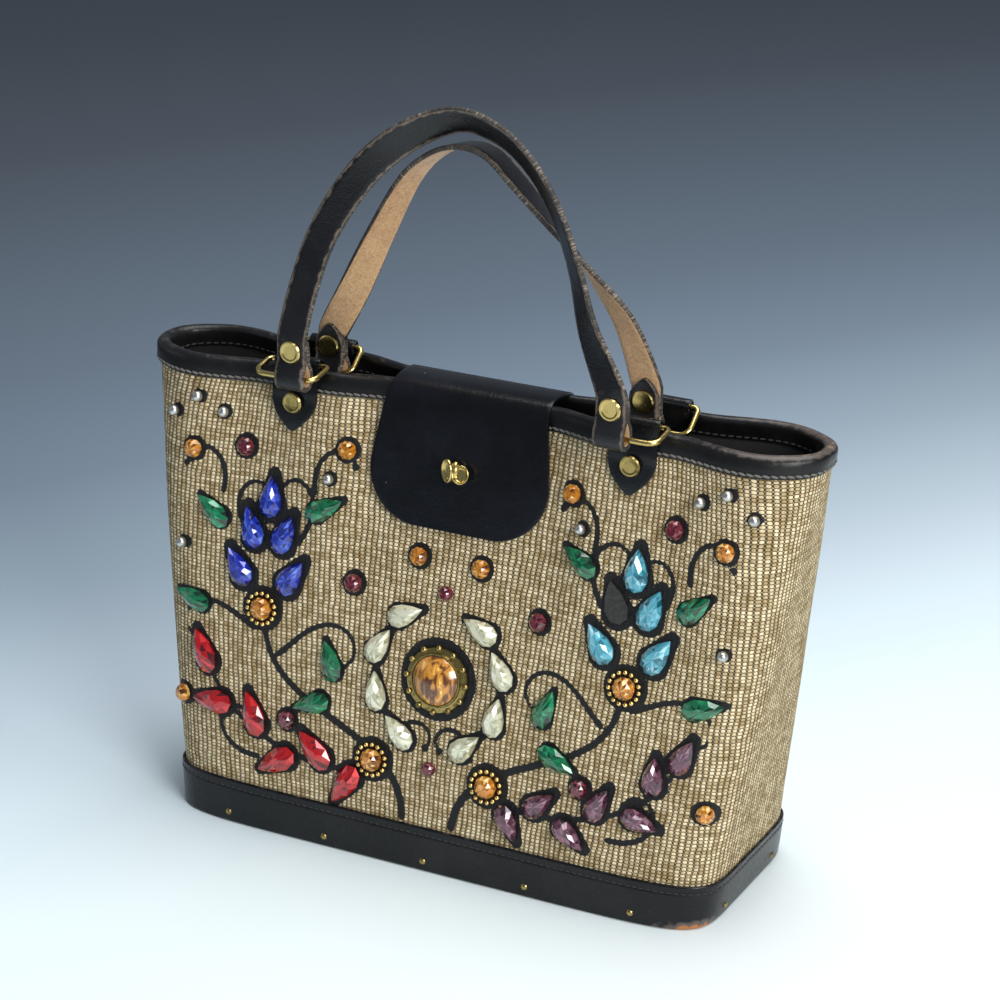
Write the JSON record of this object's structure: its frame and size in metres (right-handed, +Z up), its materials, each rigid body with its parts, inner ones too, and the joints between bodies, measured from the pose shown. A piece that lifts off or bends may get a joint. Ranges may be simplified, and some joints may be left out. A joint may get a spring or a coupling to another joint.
{
  "type": "beaded purse",
  "caption": "Canvas handbag with a board base, leather trim, strap handles on rings, a turn-button flap and glass stones set on the front.",
  "frame": {"origin": "middle of the base board's underside, on the floor", "axes": "+Z up, -Y out of the stone-set front, +X to the right seen from the front"},
  "size_m": [0.3424, 0.1151, 0.3566],
  "materials": {
    "canvas": "coarse woven canvas",
    "lining_cloth": "plain black cloth",
    "trim_leather": "satin, rubbed along the rim",
    "flap_leather": "satin with small pits",
    "strap_leather": "grained outside, tan suede inside",
    "board": "dark stained",
    "brass": "polished, slightly worn",
    "aged_brass": "darkened",
    "gold_beads": "polished",
    "silver_beads": "polished",
    "dark_paint": "soaked into the weave",
    "glue": "dull",
    "sapphire": "faceted, foiled back",
    "aqua": "faceted, foiled back",
    "crystal": "faceted, foiled back",
    "ruby": "faceted, foiled back",
    "amethyst": "faceted, foiled back",
    "emerald": "faceted, foiled back",
    "amber": "foiled back",
    "garnet": "faceted, foiled back"
  },
  "bodies": {
    "bag": {"base_board": "board", "base_band": "trim_leather", "band_tacks": "brass", "body_wall": "canvas", "lining": "lining_cloth", "rim_binding": "trim_leather", "front_left_tab": "trim_leather", "front_right_tab": "trim_leather", "back_left_tab": "trim_leather", "back_right_tab": "trim_leather", "tab_rivets": "aged_brass", "flap_anchor": "flap_leather", "anchor_rivets": "aged_brass", "turn_button_base": "aged_brass", "painted_vines": "dark_paint", "medallion_bezel": "aged_brass", "gold_bead_rings": "gold_beads", "silver_beads": "silver_beads", "lost_stone_seat": "glue", "sapphire_drops": "sapphire", "aqua_drops": "aqua", "crystal_drops": "crystal", "ruby_drops": "ruby", "amethyst_drops": "amethyst", "emerald_leaves": "emerald", "amber_centres": "amber", "amber_rounds": "amber", "garnet_rounds": "garnet", "medallion_stone": "amber"},
    "front_rings": {"front_left_ring": "brass", "front_right_ring": "brass"},
    "front_handle": {"front_handle": "strap_leather", "front_handle_rivets": "brass"},
    "back_rings": {"back_left_ring": "brass", "back_right_ring": "brass"},
    "back_handle": {"back_handle": "strap_leather", "back_handle_rivets": "brass"},
    "flap": {"flap": "flap_leather"},
    "turn_button": {"turn_button": "brass"}
  },
  "joints": [
    {"name": "front_ring_swing", "type": "hinge", "parent": "bag", "child": "front_rings", "pos_m": [0, -0.01833, 0.2247], "axis": [1, 0, 0], "range_deg": [0, 24]},
    {"name": "front_handle_swing", "type": "hinge", "parent": "front_rings", "child": "front_handle", "pos_m": [0, -0.0331, 0.22209], "axis": [1, 0, 0], "range_deg": [0, 75]},
    {"name": "back_ring_swing", "type": "hinge", "parent": "bag", "child": "back_rings", "pos_m": [0, 0.01333, 0.2247], "axis": [-1, 0, 0], "range_deg": [0, 100]},
    {"name": "back_handle_swing", "type": "hinge", "parent": "back_rings", "child": "back_handle", "pos_m": [0, 0.00183, 0.21506], "axis": [-1, 0, 0], "range_deg": [0, 15]},
    {"name": "flap_lift", "type": "hinge", "parent": "bag", "child": "flap", "pos_m": [0, 0, 0.2244], "axis": [-1, 0, 0], "range_deg": [0, 135]},
    {"name": "button_turn", "type": "hinge", "parent": "bag", "child": "turn_button", "pos_m": [0, -0.01969, 0.187], "axis": [0, -0.9682, 0.2502], "range_deg": [0, 90]}
  ]
}
